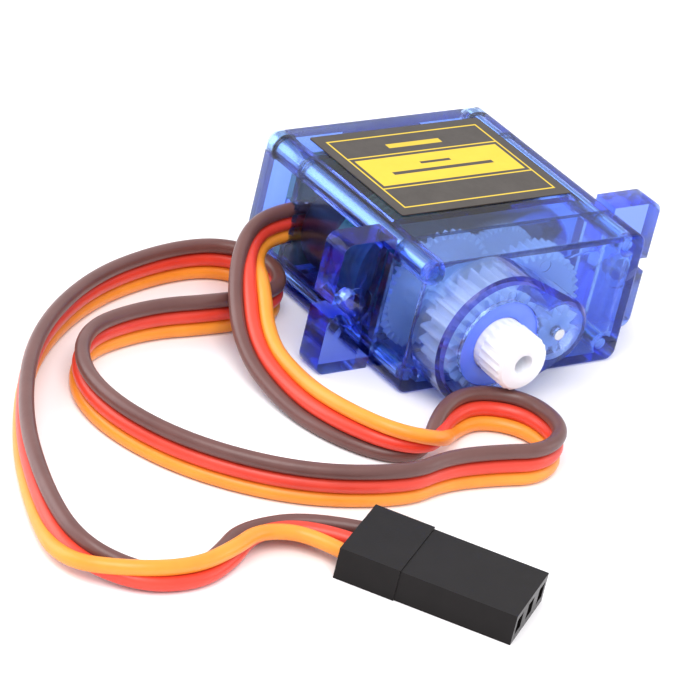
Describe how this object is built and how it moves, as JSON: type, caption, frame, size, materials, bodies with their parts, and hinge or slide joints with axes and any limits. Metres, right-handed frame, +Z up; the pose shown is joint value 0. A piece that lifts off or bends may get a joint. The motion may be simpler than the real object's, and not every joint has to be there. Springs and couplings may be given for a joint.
{
  "type": "hobby servo motor",
  "caption": "Small hobby servo with a clear blue case, two mounting ears, a splined output shaft on a turret, a geared motor inside and a coloured lead with a connector.",
  "frame": {"origin": "middle of the bounding box of the servo without its lead, on the surface that it lies on", "axes": "+X along the case, from the output shaft's end to the motor's end; -Y is the way the output shaft points; +Z up, out of the labelled side"},
  "size_m": [0.0689, 0.0552, 0.0119],
  "materials": {
    "blue_shell": "clear tinted, polished",
    "screw_steel": "bright",
    "label_sheet": "printed film",
    "motor_steel": "satin",
    "sintered_bronze": "matt",
    "black_plastic": "moulded",
    "ferrite": "sintered, matt",
    "core_steel": "stamped",
    "copper": "enamelled",
    "brush_copper": "worn",
    "pin_steel": "ground",
    "tinned_wire": "tinned",
    "brass_pinion": "cut",
    "gear_nylon": "natural nylon",
    "shaft_nylon": "white nylon",
    "bush_nylon": "tinted",
    "green_laminate": "lacquered laminate",
    "resistive_track": "carbon film",
    "contact_brass": "sprung",
    "chip_black": "moulded",
    "ceramic_tan": "sintered",
    "solder": "bright",
    "insulation_brown": "flexible vinyl",
    "insulation_red": "flexible vinyl",
    "insulation_orange": "flexible vinyl",
    "connector_black": "moulded",
    "contact_gold": "plated"
  },
  "bodies": {
    "servo_body": {"lower_case": "blue_shell", "middle_case": "blue_shell", "upper_case": "blue_shell", "case_screws": "screw_steel", "label": "label_sheet", "motor_can": "motor_steel", "motor_bush": "sintered_bronze", "motor_end_cap": "black_plastic", "motor_magnets": "ferrite", "motor_brushes": "brush_copper", "motor_terminals": "tinned_wire", "output_bush": "bush_nylon", "middle_pin": "pin_steel", "potentiometer_cup": "black_plastic", "potentiometer_base": "green_laminate", "potentiometer_track": "resistive_track", "potentiometer_pins": "tinned_wire", "circuit_board": "green_laminate", "control_chip": "chip_black", "driver_chip": "chip_black", "chip_capacitors": "ceramic_tan", "solder_joints": "solder", "wire_brown": "insulation_brown", "wire_red": "insulation_red", "wire_orange": "insulation_orange", "connector_housing": "connector_black", "connector_contacts": "contact_gold"},
    "motor_rotor": {"motor_shaft": "pin_steel", "motor_armature": "core_steel", "motor_windings": "copper", "commutator": "copper", "motor_pinion": "brass_pinion"},
    "first_gear": {"gear_1": "gear_nylon"},
    "second_gear": {"gear_2": "gear_nylon"},
    "third_gear": {"gear_3": "gear_nylon"},
    "output_shaft": {"output_gear": "shaft_nylon", "potentiometer_shaft": "pin_steel", "potentiometer_wiper": "contact_brass"}
  },
  "joints": [
    {"name": "rotor_spin", "type": "hinge", "parent": "servo_body", "child": "motor_rotor", "pos_m": [0.0059, 0.0048, 0.0059], "axis": [0, -1, 0], "range_deg": [-19872, 19872]},
    {"name": "gear_1_spin", "type": "hinge", "parent": "servo_body", "child": "first_gear", "pos_m": [0.0009, -0.0022, 0.0059], "axis": [0, -1, 0], "range_deg": [-3313, 3313]},
    {"name": "gear_2_spin", "type": "hinge", "parent": "servo_body", "child": "second_gear", "pos_m": [-0.0053, -0.0032, 0.0059], "axis": [0, -1, 0], "range_deg": [-829, 829]},
    {"name": "gear_3_spin", "type": "hinge", "parent": "servo_body", "child": "third_gear", "pos_m": [0.0009, -0.0062, 0.0059], "axis": [0, -1, 0], "range_deg": [-208, 208]},
    {"name": "output_turn", "type": "hinge", "parent": "servo_body", "child": "output_shaft", "pos_m": [-0.0053, -0.0102, 0.0059], "axis": [0, -1, 0], "range_deg": [-90.5, 90.5]}
  ],
  "couplings": [
    {"joint": "gear_1_spin", "follows": "rotor_spin", "ratio": -0.16667},
    {"joint": "gear_2_spin", "follows": "rotor_spin", "ratio": 0.041667},
    {"joint": "gear_3_spin", "follows": "rotor_spin", "ratio": -0.010417},
    {"joint": "output_turn", "follows": "rotor_spin", "ratio": 0.004529}
  ]
}
